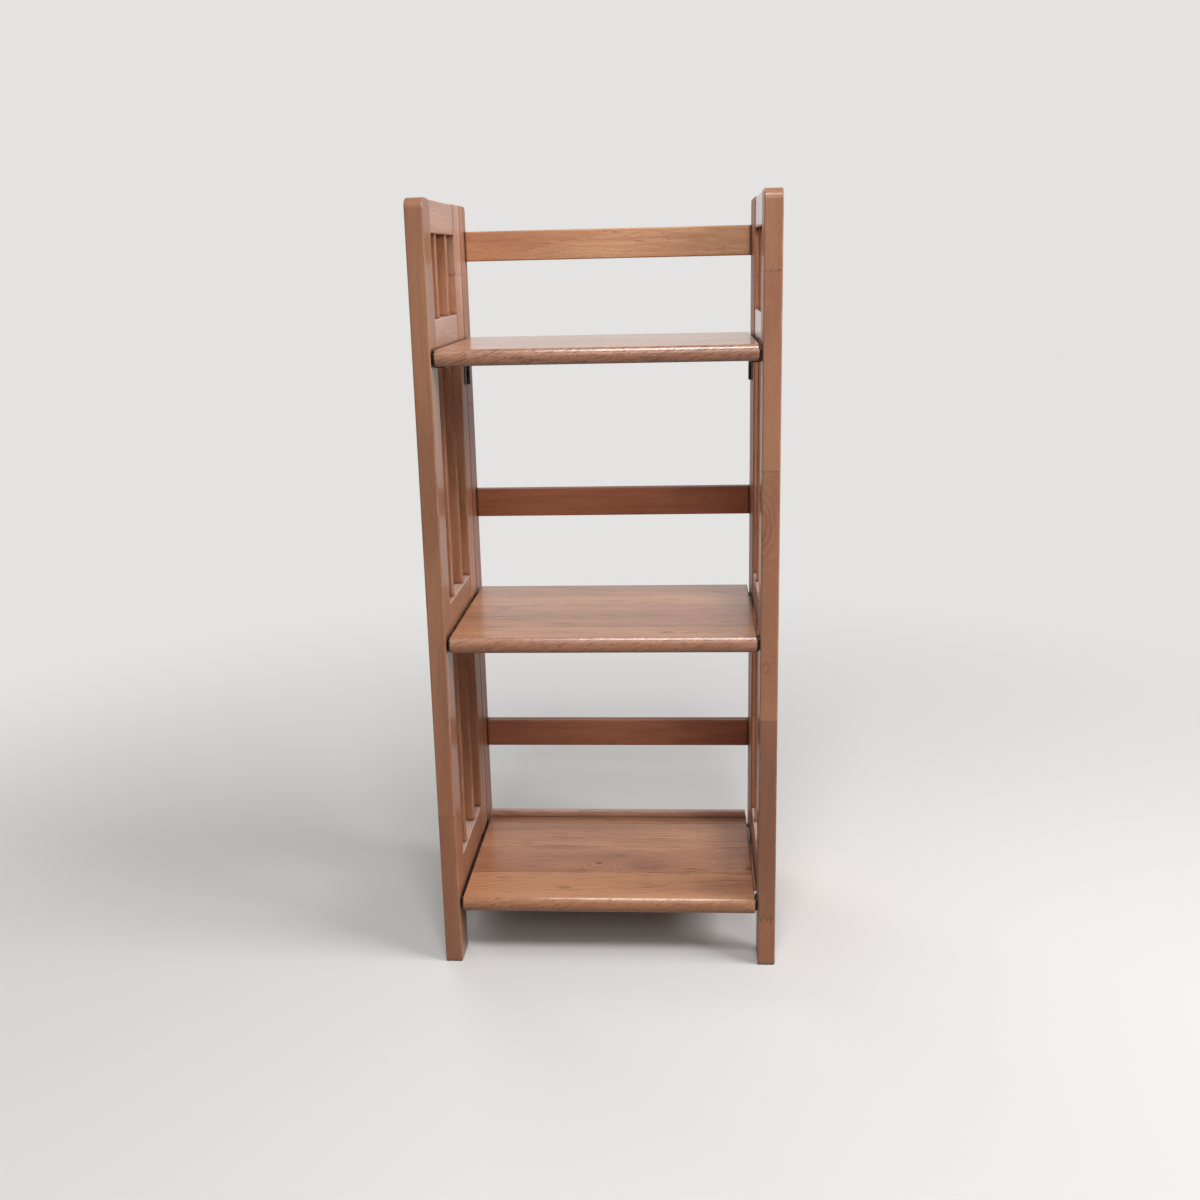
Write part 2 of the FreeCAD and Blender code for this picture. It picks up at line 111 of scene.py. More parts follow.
# Sizes of the wood's features, along and across the grain
patch_size = (0.22, 0.03)
streak_size = (0.13, 0.006)
redness_size = (0.30, 0.06)
cluster_size = (0.10, 0.02)
pore_size = (0.007, 0.0005)
scuff_size = (0.03, 0.008)
wander_size = (0.12, 0.04)
stroke_size = (0.015, 0.0018)

# Noise levels at which a feature sets in and at which it is full
redness_levels = (0.45, 0.7)
soak_levels = (0.35, 0.6)
ring_levels = (0.35, 0.7)
fleck_levels = (0.58, 0.68)
cluster_levels = (0.42, 0.62)
pore_levels = (0.55, 0.68)
scuff_levels = (0.44, 0.66)
stroke_levels = (0.48, 0.64)
tooth_levels = (0.38, 0.58)
glue_levels = (0.4, 0.6)

# Share of a feature that is left where its noise is low
soak_floor = 0.5
ring_floor = 0.3
fleck_floor = 0.1
tooth_floor = 0.25
glue_floor = 0.2

# Strength of the features
board_contrast = 0.35
tone_scatter = 0.06
pore_share = 0.22
# Dark joint lines, widened into painted shade of the gaps, are this strong
joint_and_shade_share = 0.9
glue_share = 0.9
worn_share = 0.35
# Painted shade in inner corners is at most this strong
painted_shade_share = 0.85

# How far the noise of pieces and boards and the grain of staves are set apart
noise_shift = 3.0
board_jump = 7.0
board_seeds = 50
stave_scatter = 0.12

# Growth rings: ranges that each piece draws from, how the lines bend, and how each darkens and ends
ring_spacings = (0.0045, 0.0075)
pith_offset = 0.02
pith_depths = (0.05, 0.10)
ring_tapers = (0.03, 0.06)
ring_wander = 0.04
knot_swell = 0.030
ring_rise = (0.2, 0.9)
ring_fall = (0.9, 1.0)

# Middle of a knot's spot that is its dark core
knot_core = (0.95, 0.99)

# Finger joints of the posts; their ragged look has features per metre
tooth_pitch = 0.006
tooth_wander = 0.012
tooth_ragged = (260, 260, 60)
tooth_line = 0.0003
tooth_line_fade = 0.0009

# Glue lines of the shelves, which come and go in patches so many to a metre
glue_line = 0.0004
glue_line_fade = 0.0020
glue_patches = 25

# Dark joint lines that also stand for painted shade in the gaps, worn edges, and painted shade in inner
# corners
joint_and_shade_width = 0.0010
joint_and_shade_fade = 0.0036
worn_width = 0.0022
painted_shade_distance = 0.006
painted_shade_levels = (0.40, 0.92)

# Spots: how much of one is full, and how far it reaches into a shelf or across a post
tint_plateau = 0.4
shelf_spot_reach = 0.030
post_spot_reach = 0.060

# Dust and a painted sheen on the upper faces of the side rails
dust_and_sheen_share = 0.8
dust_and_sheen_reach = 0.5
dust_and_sheen_depth = 0.0012

# Surface of the wood: what its features add to the roughness and to the relief
streak_roughness = 0.12
worn_roughness = 0.15
mark_roughness = 0.12
streak_relief = 0.5
mark_relief = -0.6
ring_relief = -0.25
relief_depth = 0.00025
coat_roughness = 0.16

# Bowed front edge of a shelf, where its figure fades behind it, and the lean of its dark strokes
nose_depth = 0.004
nose_fade_start = -0.0005
nose_fade_end = 0.0025
stroke_lean = math.radians(20.0)

# Metal: patches per metre
bronze_mottle = 220
bronze_rub = 900
steel_mottle = 700

# Metal: levels of the noise, rubbed edges, roughness and relief
bronze_levels = (0.35, 0.7)
steel_levels = (0.4, 0.65)
rub_levels = (0.35, 0.6)
rub_shares = (0.2, 0.9)
rubbed_edge = 0.0007
rubbed_edge_levels = (0.80, 0.98)
dull_levels = (0.3, 0.7)
bronze_roughness = (0.32, 0.5)
steel_roughness = (0.26, 0.46)
bronze_relief = 0.00006
steel_relief = 0.00004

# Planes where pieces meet
seam_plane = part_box("left_back_post")[0][Y]
rear_post_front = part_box("left_rear_post")[0][Y]
inner_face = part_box("right_back_post")[0][X]

# Upper edge of the bottom shelf's bowed front, where a highlight is painted
bottom_edge_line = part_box("bottom_shelf")[0][Y] + nose_depth
bottom_edge_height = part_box("bottom_shelf")[1][Z]


class Graph:
    """Adds shader nodes to a node tree. Most calls give back an output socket."""

    def __init__(self, tree):
        self.tree = tree

    def put(self, kind, **settings):
        """A new node with these settings."""
        node = self.tree.nodes.new(kind)
        for name, value in settings.items():
            setattr(node, name, value)
        return node

    def feed(self, socket, value):
        """Links an output to an input socket, or sets a constant on it."""
        if isinstance(value, bpy.types.NodeSocket):
            self.tree.links.new(value, socket)
        else:
            socket.default_value = value

    def math(self, operation, *values):
        node = self.put("ShaderNodeMath", operation=operation)
        for socket, value in zip(node.inputs, values):
            self.feed(socket, value)
        return node.outputs[0]

    def total(self, *values):
        """The sum of several numbers."""
        result = values[0]
        for value in values[1:]:
            result = self.math("ADD", result, value)
        return result

    def largest(self, *values):
        """The largest of several numbers."""
        result = values[0]
        for value in values[1:]:
            result = self.math("MAXIMUM", result, value)
        return result

    def vector(self, operation, *values):
        node = self.put("ShaderNodeVectorMath", operation=operation)
        for socket, value in zip(node.inputs, values):
            self.feed(socket, value)
        return node.outputs["Value" if operation in ("LENGTH", "DOT_PRODUCT") else "Vector"]

    def split(self, vector):
        """The three numbers of a vector."""
        node = self.put("ShaderNodeSeparateXYZ")
        self.feed(node.inputs[0], vector)
        return list(node.outputs)

    def join(self, x, y, z):
        """A vector from three numbers."""
        node = self.put("ShaderNodeCombineXYZ")
        for socket, value in zip(node.inputs, (x, y, z)):
            self.feed(socket, value)
        return node.outputs[0]

    def ramp(self, value, low, high, start=0.0, end=1.0):
        """A smooth step from start to end as the value goes from low to high."""
        node = self.put("ShaderNodeMapRange", interpolation_type="SMOOTHSTEP")
        for name, number in (("Value", value), ("From Min", low), ("From Max", high),
                             ("To Min", start), ("To Max", end)):
            self.feed(node.inputs[name], number)
        return node.outputs[0]

    def noise(self, vector, detail=3.0, roughness=0.5, distortion=0.0):
        """Noise with features about one unit apart, from about 0.2 to 0.8."""
        node = self.put("ShaderNodeTexNoise", noise_dimensions="3D")
        self.feed(node.inputs["Vector"], vector)
        node.inputs["Scale"].default_value = 1.0
        node.inputs["Detail"].default_value = detail
        node.inputs["Roughness"].default_value = roughness
        node.inputs["Distortion"].default_value = distortion
        return node.outputs[0]

    def chance(self, value):
        """A steady random number from 0 to 1 for each value."""
        node = self.put("ShaderNodeTexWhiteNoise", noise_dimensions="1D")
        self.feed(node.inputs["W"], value)
        return node.outputs["Value"]

    def mix(self, share, first, second):
        """Blends two colours."""
        node = self.put("ShaderNodeMix", data_type="RGBA", blend_type="MIX")
        self.feed(node.inputs[0], share)
        self.feed(node.inputs[6], first)
        self.feed(node.inputs[7], second)
        return node.outputs[2]

    def object_place(self):
        """Where a point lies in the piece's own coordinates."""
        return self.put("ShaderNodeTexCoord").outputs["Object"]

    def bump(self, height, depth):
        """A normal that follows a height, which stands for this depth in metres."""
        node = self.put("ShaderNodeBump")
        node.inputs["Strength"].default_value = 1.0
        node.inputs["Distance"].default_value = depth
        self.feed(node.inputs["Height"], height)
        return node.outputs[0]

    def surface(self, colour, roughness, normal, **fixed):
        """The finished surface; fixed values are set on the shader's own sockets."""
        node = self.put("ShaderNodeBsdfPrincipled")
        self.feed(node.inputs["Base Color"], colour)
        self.feed(node.inputs["Roughness"], roughness)
        self.feed(node.inputs["Normal"], normal)
        for name, value in fixed.items():
            node.inputs[name.replace("_", " ")].default_value = value
        output = self.put("ShaderNodeOutputMaterial")
        self.tree.links.new(node.outputs[0], output.inputs["Surface"])


def new_material(name):
    """An empty node material and the graph that fills it."""
    material = bpy.data.materials.new(name)
    material.use_nodes = True
    material.node_tree.nodes.clear()
    return material, Graph(material.node_tree)


def grain_axes(graph, place, node_name, along):
    """A place as a run along the grain and two steps across it, from the middle of the piece."""
    low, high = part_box(node_name)
    middle = (Vector(low) + Vector(high)) / 2.0
    axes = graph.split(graph.vector("SUBTRACT", place, middle))
    return [axes[along]] + [axes[index] for index in (X, Y, Z) if index != along]


def stretched(graph, place, length, width):
    """A grain place measured in features of that length along the grain and that width across it."""
    return graph.vector("MULTIPLY", place, (1.0 / length, 1.0 / width, 1.0 / width))


def per_metre(graph, place, count):
    """A place measured in features of which that many fit in a metre."""
    return graph.vector("MULTIPLY", place, (count, count, count))


def edge_distance(graph, place, node_name):
    """How far a point on a piece lies from the piece's nearest edge."""
    low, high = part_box(node_name)
    gaps = []
    for axis, value in enumerate(graph.split(place)):
        centre = (low[axis] + high[axis]) / 2.0
        half = (high[axis] - low[axis]) / 2.0
        off_centre = graph.math("ABSOLUTE", graph.math("SUBTRACT", value, centre))
        gaps.append(graph.math("SUBTRACT", half, off_centre))
    smaller = graph.math("MINIMUM", gaps[0], gaps[1])
    larger = graph.math("MAXIMUM", gaps[0], gaps[1])
    return graph.math("MAXIMUM", smaller, graph.math("MINIMUM", larger, gaps[2]))


def boards(graph, place, node_name, look, draw):
    """Where a point lies in its board, a place for noise, the board's tone and the glue lines."""
    run, first, second = grain_axes(graph, place, node_name, look["along"])
    shift = [draw.uniform(-noise_shift, noise_shift) for _ in range(3)]
    noise_place = graph.vector("ADD", graph.join(run, first, second), shift)
    tone, seam = 0.0, 0.0
    if look["segments"]:
        index, step, tone, seam = look["segments"](graph, place)
        first = graph.math("ADD", first, step)
        seed = graph.math("ADD", index, draw.uniform(0, board_seeds))
        jump = graph.math("MULTIPLY", graph.chance(seed), board_jump)
        noise_place = graph.vector("ADD", noise_place, graph.join(jump, jump, jump))
    return (run, first, second), noise_place, tone, seam


def finger_joints(lowest_tone, *joints):
    """Boards of a post: each joint has its height, its teeth's depth and the tone of the board above it."""
    def segments(graph, place):
        x, _, z = graph.split(place)
        ragged = graph.noise(graph.vector("MULTIPLY", place, tooth_ragged))
        wavy_x = graph.math("MULTIPLY_ADD", ragged, tooth_wander, x)
        tooth = graph.math("PINGPONG", wavy_x, tooth_pitch / 2.0)
        strength = graph.ramp(ragged, *tooth_levels, tooth_floor, 1.0)
        index = 0.0
        seam = 0.0
        tone = lowest_tone
        tone_below = lowest_tone
        for height, depth, tone_above in joints:
            slope = 2.0 * depth / tooth_pitch
            line = graph.math("MULTIPLY_ADD", tooth, slope, height)
            above = graph.math("SUBTRACT", z, line)
            steep = math.hypot(1.0, slope)
            off_line = graph.math("ABSOLUTE", above)
            near = graph.ramp(off_line, tooth_line * steep, tooth_line_fade * steep, 1.0, 0.0)
            passed = graph.math("GREATER_THAN", above, 0.0)
            index = graph.math("ADD", index, passed)
            tone = graph.math("MULTIPLY_ADD", passed, tone_above - tone_below, tone)
            tone_below = tone_above
            seam = graph.math("MAXIMUM", seam, graph.math("MULTIPLY", near, strength))
        return index, 0.0, tone, seam
    return segments


def staves(tones, *seams):
    """Boards of a shelf, glued edge to edge: their tones from the front on, and the seams between them."""
    def segments(graph, place):
        _, y, _ = graph.split(place)
        patchy = graph.noise(per_metre(graph, place, glue_patches))
        strength = graph.ramp(patchy, *glue_levels, glue_floor, 1.0)
        index = 0.0
        seam = 0.0
        tone = tones[0]
        for line, tone_before, tone_behind in zip(seams, tones, tones[1:]):
            behind = graph.math("SUBTRACT", y, line)
            off_line = graph.math("ABSOLUTE", behind)
            near = graph.ramp(off_line, glue_line, glue_line_fade, glue_share, 0.0)
            passed = graph.math("GREATER_THAN", behind, 0.0)
            index = graph.math("ADD", index, passed)
            tone = graph.math("MULTIPLY_ADD", passed, tone_behind - tone_before, tone)
            seam = graph.math("MAXIMUM", seam, graph.math("MULTIPLY", near, strength))
        step = graph.math("MULTIPLY", graph.math("SUBTRACT", graph.chance(index), 0.5), stave_scatter)
        return index, step, tone, seam
    return segments


def blot(graph, place, centre, sizes, plateau=0.0):
    """A soft spot round a centre: one on its plateau, nought past the half sizes."""
    off = graph.vector("DIVIDE", graph.vector("SUBTRACT", place, centre), sizes)
    return graph.ramp(graph.vector("LENGTH", off), plateau, 1.0, 1.0, 0.0)


def knot_figure(graph, place, knots):
    """How much the grain swells round the knots, and their dark cores."""
    swell = 0.0
    core = 0.0
    for centre, sizes, core_share in knots:
        spot = blot(graph, place, centre, sizes)
        swell = graph.math("ADD", swell, spot)
        core = graph.math("MAXIMUM", core, graph.ramp(spot, *knot_core, 0.0, core_share))
    return swell, core


def growth_rings(graph, board, grain, swell, draw):
    """Soft dark lines of the growth rings round a pith that lies outside the board."""
    ring_spacing = draw.uniform(*ring_spacings)
    pith_first = draw.uniform(-pith_offset, pith_offset)
    pith_second = draw.choice((-1, 1)) * draw.uniform(*pith_depths)
    taper = draw.choice((-1, 1)) * draw.uniform(*ring_tapers)
    run, first, second = board
    wander = graph.noise(stretched(graph, grain, *wander_size), detail=2.0)
    off_first = graph.math("SUBTRACT", first, pith_first)
    off_second = graph.math("SUBTRACT", second, pith_second)
    radius = graph.total(
        graph.vector("LENGTH", graph.join(off_first, off_second, 0.0)),
        graph.math("MULTIPLY", run, taper),
        graph.math("MULTIPLY", wander, ring_wander),
        graph.math("MULTIPLY", swell, knot_swell),
    )
    part = graph.math("FRACT", graph.math("DIVIDE", radius, ring_spacing))
    rise = graph.ramp(part, *ring_rise)
    fall = graph.ramp(part, *ring_fall, 1.0, 0.0)
    return graph.math("MULTIPLY", rise, fall)


def nose_figure(graph, place, node_name):
    """The bowed front edge of a shelf, and the dark slanting strokes where it cuts across the grain."""
    across = math.cos(stroke_lean)
    upward = math.sin(stroke_lean)
    length, width = stroke_size
    run = graph.vector("DOT_PRODUCT", place, (across, 0.0, upward))
    rise = graph.vector("DOT_PRODUCT", place, (-upward, 0.0, across))
    spot = graph.join(graph.math("DIVIDE", run, length), graph.math("DIVIDE", rise, width), 0.0)
    wavy = graph.noise(spot, detail=5.0, roughness=0.65, distortion=1.2)
    strokes = graph.ramp(wavy, *stroke_levels)
    _, y, _ = graph.split(place)
    nose_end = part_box(node_name)[0][Y] + nose_depth
    nose = graph.ramp(y, nose_end + nose_fade_start, nose_end + nose_fade_end, 1.0, 0.0)
    return nose, graph.math("MULTIPLY", strokes, nose)


def tinted(graph, place, look, streaks, colour):
    """The colour with the piece's stains, dust and pale spots on it, and the painted shade, sheen and
    highlights that some pieces carry as tints.
    """
    for centre, sizes, share, tint in look["tints"]:
        soaked = graph.ramp(streaks, *soak_levels, soak_floor * share, share)
        spot = blot(graph, place, centre, sizes, tint_plateau)
        colour = graph.mix(graph.math("MULTIPLY", spot, soaked), colour, tint)
    return colour


def flecks_and_pores(graph, grain, look):
    """Short dark dashes that come in clusters, and fine pores everywhere."""
    clusters = graph.noise(stretched(graph, grain, *cluster_size), detail=2.0)
    dashes = graph.noise(stretched(graph, grain, *look["fleck_size"]), detail=2.0)
    pores = graph.noise(stretched(graph, grain, *pore_size), detail=1.0)
    fleck_share = graph.ramp(clusters, *cluster_levels, fleck_floor * look["flecks"], look["flecks"])
    return graph.largest(
        graph.math("MULTIPLY", graph.ramp(dashes, *fleck_levels), fleck_share),
        graph.math("MULTIPLY", graph.ramp(pores, *pore_levels), pore_share),
    )


def joint_and_shade_lines(graph, place, look):
    """Dark lines on a piece where the next one meets it: a dark joint, widened into painted shade of the
    gap.
    """
    lines = []
    for axis, level in look["grooves"]:
        off = graph.math("ABSOLUTE", graph.math("SUBTRACT", graph.split(place)[axis], level))
        lines.append(graph.ramp(off, joint_and_shade_width, joint_and_shade_fade, joint_and_shade_share, 0.0))
    return lines


def worn_edges(graph, place, grain, node_name):
    """Scuffed places along the edges of a piece."""
    scuffs = graph.noise(stretched(graph, grain, *scuff_size), detail=4.0, roughness=0.65)
    edge = edge_distance(graph, place, node_name)
    near = graph.ramp(edge, 0.0, worn_width, 1.0, 0.0)
    return graph.math("MULTIPLY", near, graph.ramp(scuffs, *scuff_levels))


def painted_corner_shade(graph):
    """How much painted shade a point gets: much in inner corners, nought in the open."""
    corner = graph.put("ShaderNodeAmbientOcclusion", samples=4)
    corner.inputs["Distance"].default_value = painted_shade_distance
    return graph.ramp(corner.outputs["AO"], *painted_shade_levels, painted_shade_share, 0.0)


def wood(node_name):
    """Lacquered wood: tones, stains, growth rings, dark marks, worn edges, painted shade in the corners,
    and on some pieces painted light and shade in their tones and tints.
    """
    look = wood_look(node_name)
    draw = random.Random(node_name)
    material, graph = new_material(node_name + "_wood")
    place = graph.object_place()
    board, grain, board_tone, seam = boards(graph, place, node_name, look, draw)
    swell, core = knot_figure(graph, place, look["knots"])
    rings = growth_rings(graph, board, grain, swell, draw)
    patches = graph.noise(stretched(graph, grain, *patch_size), distortion=0.4)
    streaks = graph.noise(stretched(graph, grain, *streak_size), detail=4.0, roughness=0.6)
    redness = graph.noise(stretched(graph, grain, *redness_size), detail=2.0)
    nose, strokes = 0.0, 0.0
    if look["strokes"]:
        nose, strokes = nose_figure(graph, place, node_name)

    tone = graph.total(
        patches,
        graph.math("MULTIPLY", board_tone, board_contrast),
        graph.math("MULTIPLY", graph.math("SUBTRACT", streaks, 0.5), look["streaks"]),
        # Darker bowed front of a shelf: partly end grain that takes more stain, partly painted shade on the
        # front-facing edge
        graph.math("MULTIPLY", nose, look["nose"]),
        draw.uniform(-tone_scatter, tone_scatter),
    )
    ring_share = graph.total(
        graph.ramp(patches, *ring_levels, ring_floor * look["rings"], look["rings"]),
        graph.math("MULTIPLY", swell, look["knot_rings"]),
    )
    marks = graph.largest(
        flecks_and_pores(graph, grain, look),
        graph.math("MULTIPLY", seam, look["seams"]),
        graph.math("MULTIPLY", strokes, look["strokes"]),
        core,
        *joint_and_shade_lines(graph, place, look),
    )
    worn = worn_edges(graph, place, grain, node_name)

    colour = graph.mix(graph.ramp(tone, *look["tone_span"]), *look["tones"])
    colour = graph.mix(graph.ramp(redness, *redness_levels, 0.0, look["redness"]), colour, red_tint)
    colour = tinted(graph, place, look, streaks, colour)
    colour = graph.mix(graph.math("MULTIPLY", rings, ring_share), colour, ring_colour)
    colour = graph.mix(marks, colour, fleck_colour)
    colour = graph.mix(graph.math("MULTIPLY", worn, worn_share), colour, worn_colour)
    # Painted shade in inner corners and gaps
    colour = graph.mix(painted_corner_shade(graph), colour, painted_shade_colour)

    roughness = graph.total(
        look["roughness"],
        graph.math("MULTIPLY", streaks, streak_roughness),
        graph.math("MULTIPLY", worn, worn_roughness),
        graph.math("MULTIPLY", marks, mark_roughness),
    )
    height = graph.total(
        graph.math("MULTIPLY", streaks, streak_relief),
        graph.math("MULTIPLY", marks, mark_relief),
        graph.math("MULTIPLY", rings, ring_relief),
    )
    graph.surface(colour, roughness, graph.bump(height, relief_depth),
                  Specular_IOR_Level=look["gloss"], Coat_Weight=look["coat"], Coat_Roughness=coat_roughness)
    return material


def dust_and_sheen_top(node_name):
    """A pale tint on the upper face of a rail: dust, with a painted sheen of the light on it."""
    low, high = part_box(node_name)
    centre = Vector(((low[X] + high[X]) / 2.0, (low[Y] + high[Y]) / 2.0, high[Z]))
    return centre, Vector((dust_and_sheen_reach, dust_and_sheen_reach, dust_and_sheen_depth)), dust_and_sheen_share, dust_and_sheen_tint


def shelf_spot(node_name, x, y, half_length, half_depth):
    """The centre and the half sizes of a spot on the upper face of a shelf."""
    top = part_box(node_name)[1][Z]
    return Vector((x, y, top)), Vector((half_length, half_depth, shelf_spot_reach))


def painted_light_post_spot(x, y, z, half_height):
    """The centre and the half sizes of a spot that covers a length of a post, for the painted shade and
    painted sheen on posts.
    """
    return Vector((x, y, z)), Vector((post_spot_reach, post_spot_reach, half_height))


def wood_look(node_name):
    """What sets a wooden piece apart: grain axis, colours, strength of its figure, boards and knots."""
    look = {
        "along": X,
        "tones": frame_tones,
        "tone_span": (0.3, 0.72),
        "redness": 0.4,
        "streaks": 0.35,
        "rings": 0.16,
        "knot_rings": 0.45,
        "flecks": 0.35,
        "fleck_size": (0.018, 0.0014),
        "strokes": 0.0,
        # How much darker a shelf's bowed front is: partly stain in the end grain, partly painted shade
        "nose": 0.4,
        "seams": 0.7,
        "roughness": 0.42,
        "gloss": 0.2,
        "coat": 0.08,
        "segments": None,
        "grooves": (),
        "knots": (),
        "tints": (),
    }
    if node_name.endswith("_front_post"):
        look.update(along=Z, roughness=0.37, gloss=0.28, coat=0.26)
    elif node_name.endswith("_post"):
        look.update(along=Z, tones=inner_tones, grooves=((Y, seam_plane),))
    elif node_name.endswith("_slat"):
        look.update(along=Z, tones=inner_tones, roughness=0.7, gloss=0.1, coat=0.0)
    elif node_name.endswith(("_top_side_rail", "_upper_side_rail")):
        look.update(along=Y, tones=inner_tones, roughness=0.34, gloss=0.5, coat=0.3,
                    grooves=((Y, rear_post_front),), tints=(dust_and_sheen_top(node_name),))
    elif node_name.endswith("_side_rail"):
        look.update(along=Y, grooves=((Y, rear_post_front),), tints=(dust_and_sheen_top(node_name),))
    elif node_name.endswith("_back_rail"):
        look["grooves"] = ((X, -inner_face), (X, inner_face))
    elif "shelf" in node_name:
        look.update(tones=shelf_tones, tone_span=(0.22, 0.92), redness=0.25, streaks=0.40,
                    rings=0.30, flecks=0.75, fleck_size=(0.045, 0.0024),
                    roughness=0.28, gloss=0.45, coat=0.45)
    look.update(SPECIAL_LOOKS.get(node_name, {}))
    return look


# Pieces whose boards, knots or colours differ from the rest; several of these colours are painted light,
# shade, sheen or highlight
SPECIAL_LOOKS = {
    "right_front_post": {
        "segments": finger_joints(
            0.2, (0.060, 0.011, 0.8), (0.333, 0.0020, -0.1), (0.644, 0.0008, -0.3), (0.872, 0.003, 0.0)),
        "knot_rings": 0.6,
        "knots": (
            (Vector((0.190, -0.150, 0.575)), Vector((0.036, 0.030, 0.075)), 0.0),
            (Vector((0.210, -0.150, 0.417)), Vector((0.004, 0.020, 0.006)), 0.8),
            (Vector((0.202, -0.134, 0.404)), Vector((0.024, 0.034, 0.034)), 0.0),
        ),
        # Painted shade: the lower part of the post is darker
        "tints": ((*painted_light_post_spot(0.204, -0.139, 0.205, 0.150), 0.75, stain_and_shade_tint),),
    },
    "left_front_post": {
        "segments": finger_joints(0.25, (0.205, 0.0008, 0.25)),
        "seams": 0.35,
        # Painted shade: the lower part of the post is darker and redder
        "tints": ((*painted_light_post_spot(-0.204, -0.139, 0.190, 0.200), 0.55, red_tint),),
    },
    "left_rear_post": {
        "segments": finger_joints(0.3, (0.402, 0.003, -0.2), (0.874, 0.003, 0.2)),
        # Painted sheen on the top of the post
        "tints": ((*painted_light_post_spot(-0.204, 0.095, 0.930, 0.150), 0.4, dust_and_sheen_tint),),
    },
    "right_rear_post": {"segments": finger_joints(0.0, (0.268, 0.003, 0.3), (0.590, 0.003, -0.2))},
    "left_back_post": {"segments": finger_joints(0.2, (0.310, 0.003, -0.2), (0.700, 0.003, 0.1))},
    "right_back_post": {
        "segments": finger_joints(-0.2, (0.190, 0.003, 0.3), (0.480, 0.003, 0.0), (0.812, 0.003, 0.2)),
    },
    # Painted sheen: paler tones on the right top and upper side rails
    "right_top_side_rail": {"tones": sheen_painted_rail_tones, "coat": 0.9},
    "right_upper_side_rail": {"tones": sheen_painted_rail_tones, "coat": 0.9},
    # Painted light: the back rails' tones are set for how light and shade fall in each bay
    "upper_back_rail": {
        "tones": upper_rail_painted_light_tones,
        "flecks": 0.7,
        "tints": ((Vector((0.140, 0.140, 0.910)), Vector((0.300, 0.200, 0.200)), 1.0, pale_tint),),
    },
    "middle_back_rail": {"tones": middle_rail_painted_light_tones},
    "lower_back_rail": {"tones": lower_rail_painted_light_tones},
    # Painted light: the lip is paler, to make up for the shade round it
    "bottom_shelf_lip": {"tones": lip_painted_light_tones},
    "top_shelf": {
        "segments": staves((0.0, 0.3, -0.2, 0.2, 0.0), -0.078, -0.025, 0.028, 0.081),
        "strokes": 0.95,
        "nose": 0.8,
        "coat": 0.65,
    },
    "middle_shelf": {
        "segments": staves((-0.3, 0.5, 0.3, -0.5, -0.3), -0.0943, -0.0407, 0.0129, 0.0665),
        "strokes": 0.70,
        "tints": ((*shelf_spot("middle_shelf", 0.079, -0.122, 0.014, 0.008), 0.8, stain_and_shade_tint),),
    },
    "bottom_shelf": {
        "segments": staves((-0.6, 0.4, 0.1, 0.3), -0.070, 0.010, 0.090),
        "strokes": 0.5,
        "rings": 0.34,
        "gloss": 0.18,
        "coat": 0.42,
        "knots": (
            (*shelf_spot("bottom_shelf", -0.0185, -0.042, 0.055, 0.030), 0.8),
            (*shelf_spot("bottom_shelf", 0.1865, -0.055, 0.012, 0.018), 0.8),
        ),
        "tints": (
            (*shelf_spot("bottom_shelf", 0.046, -0.048, 0.042, 0.024), 0.55, stain_and_shade_tint),
            (*shelf_spot("bottom_shelf", -0.065, 0.008, 0.065, 0.011), 0.45, stain_and_shade_tint),
            (*shelf_spot("bottom_shelf", 0.045, 0.030, 0.075, 0.012), 0.45, stain_and_shade_tint),
            (*shelf_spot("bottom_shelf", 0.003, -0.018, 0.042, 0.010), 0.40, stain_and_shade_tint),
            (*shelf_spot("bottom_shelf", -0.059, -0.115, 0.013, 0.006), 0.70, stain_and_shade_tint),
            # Painted shadow of the right front post at the front of the right end
            (*shelf_spot("bottom_shelf", 0.160, -0.115, 0.060, 0.050), 0.30, stain_and_shade_tint),
            (*shelf_spot("bottom_shelf", 0.1855, -0.055, 0.005, 0.012), 0.80, fleck_colour),
            # Painted highlight along the upper edge of the bowed front
            (Vector((0.040, bottom_edge_line, bottom_edge_height)), Vector((0.190, 0.0026, 0.0026)), 1.0,
             painted_edge_highlight),
        ),
    },
}


def dark_metal():
    """Aged bronze finish, rubbed to bare grey at raised places."""
    material, graph = new_material("dark_metal_finish")
    place = graph.object_place()
    mottle = graph.noise(per_metre(graph, place, bronze_mottle), detail=4.0)
    rubbed = graph.noise(per_metre(graph, place, bronze_rub), roughness=0.7)
    bevel = graph.put("ShaderNodeBevel", samples=4)
    bevel.inputs["Radius"].default_value = rubbed_edge
    geometry = graph.put("ShaderNodeNewGeometry")
    flatness = graph.vector("DOT_PRODUCT", bevel.outputs[0], geometry.outputs["Normal"])
    edge = graph.ramp(flatness, *rubbed_edge_levels, 1.0, 0.0)
    worn = graph.math("MULTIPLY", edge, graph.ramp(rubbed, *rub_levels, *rub_shares))
    colour = graph.mix(graph.ramp(mottle, *bronze_levels), bronze_dark, bronze_brown)
    colour = graph.mix(worn, colour, bronze_worn)
    roughness = graph.ramp(mottle, *dull_levels, *bronze_roughness)
    graph.surface(colour, roughness, graph.bump(rubbed, bronze_relief), Metallic=0.85)
    return material


def steel(name, light, dull):
    """Steel with dull patches."""
    material, graph = new_material(name)
    place = graph.object_place()
    mottle = graph.noise(per_metre(graph, place, steel_mottle), detail=4.0)
    colour = graph.mix(graph.ramp(mottle, *steel_levels), light, dull)
    roughness = graph.ramp(mottle, *dull_levels, *steel_roughness)
    graph.surface(colour, roughness, graph.bump(mottle, steel_relief), Metallic=1.0)
    return material


def dress(node_name, material):
    """Gives a piece its finish."""
    slots = frame["nodes"][node_name].data.materials
    slots.clear()
    slots.append(material)


